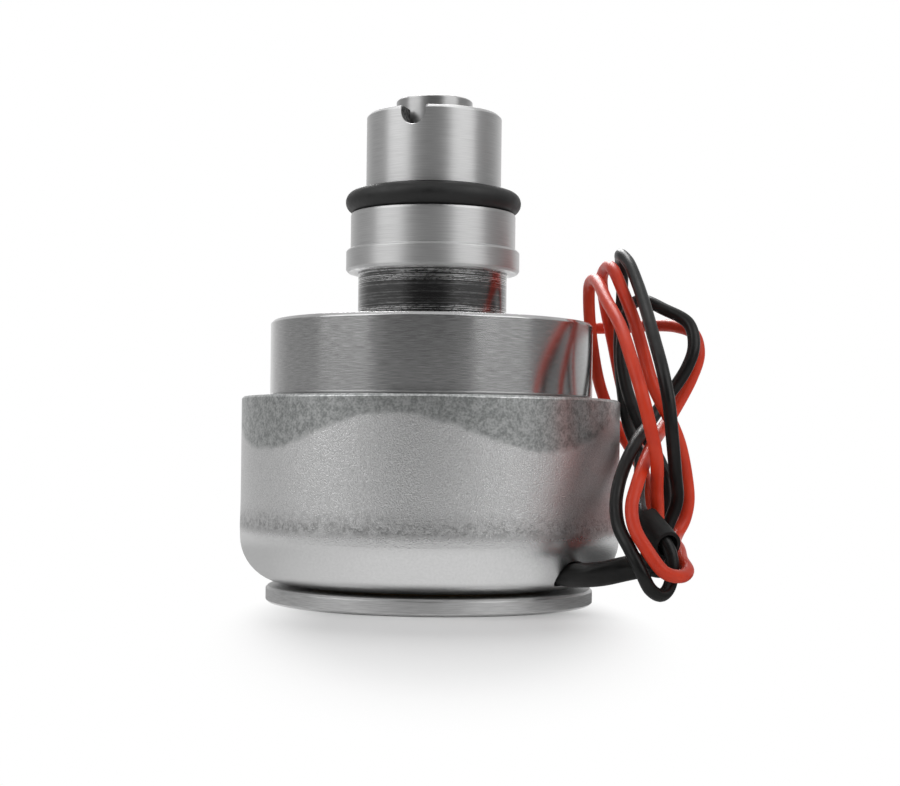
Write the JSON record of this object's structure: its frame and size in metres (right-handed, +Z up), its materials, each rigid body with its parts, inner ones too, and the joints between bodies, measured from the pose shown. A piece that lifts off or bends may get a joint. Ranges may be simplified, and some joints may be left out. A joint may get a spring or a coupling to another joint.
{
  "type": "transmission solenoid",
  "caption": "Round push-in solenoid with a stepped steel spigot, seal ring, pushing plunger, flat armature plate below a drawn case, and folded red and black leads.",
  "frame": {"origin": "centre of the armature plate's underside, which is the floor the part stands on", "axes": "+Z up along the axis towards the plunger's end, +Y away from the picture's camera, +X to its right, where the leads hang"},
  "size_m": [0.061, 0.0508, 0.0663],
  "materials": {
    "plated_steel": "satin plated drawn steel",
    "machined_steel": "turned steel",
    "bright_steel": "ground steel",
    "bronze": "sintered bronze",
    "copper": "enamelled copper wire",
    "tinned_copper": "tinned strands",
    "nylon": "moulded nylon",
    "insulation": "insulating tape and washers",
    "black_rubber": "matt nitrile rubber",
    "black_sleeve": "black sleeving",
    "red_pvc": "extruded wire insulation",
    "black_pvc": "extruded wire insulation"
  },
  "bodies": {
    "housing": {"case": "plated_steel", "stator": "machined_steel", "pole_bush": "bronze", "shaft_seal": "black_rubber", "bobbin": "nylon", "coil_winding": "copper", "coil_wrap": "insulation", "lower_insulator": "insulation", "upper_insulator": "insulation", "lead_splices": "tinned_copper", "collar": "machined_steel", "spigot": "machined_steel", "guide_bush": "bronze", "seal_ring": "black_rubber", "return_spring": "bright_steel", "lead_sleeve": "black_sleeve", "red_lead": "red_pvc", "black_lead": "black_pvc", "red_lead_tip": "tinned_copper", "black_lead_tip": "tinned_copper", "slip_tube": "black_sleeve"},
    "armature": {"armature_plate": "machined_steel", "armature_core": "machined_steel", "residual_shim": "bronze", "push_rod": "bright_steel", "rod_clip": "bright_steel", "spring_seat": "bright_steel", "plunger": "bright_steel"}
  },
  "joints": [
    {"name": "armature_slide", "type": "slide", "parent": "housing", "child": "armature", "axis": [0, 0, 1], "range_m": [-0.002, 0], "stiffness_N_per_m": 300, "springref_m": -0.006, "deforming": ["return_spring"]}
  ]
}
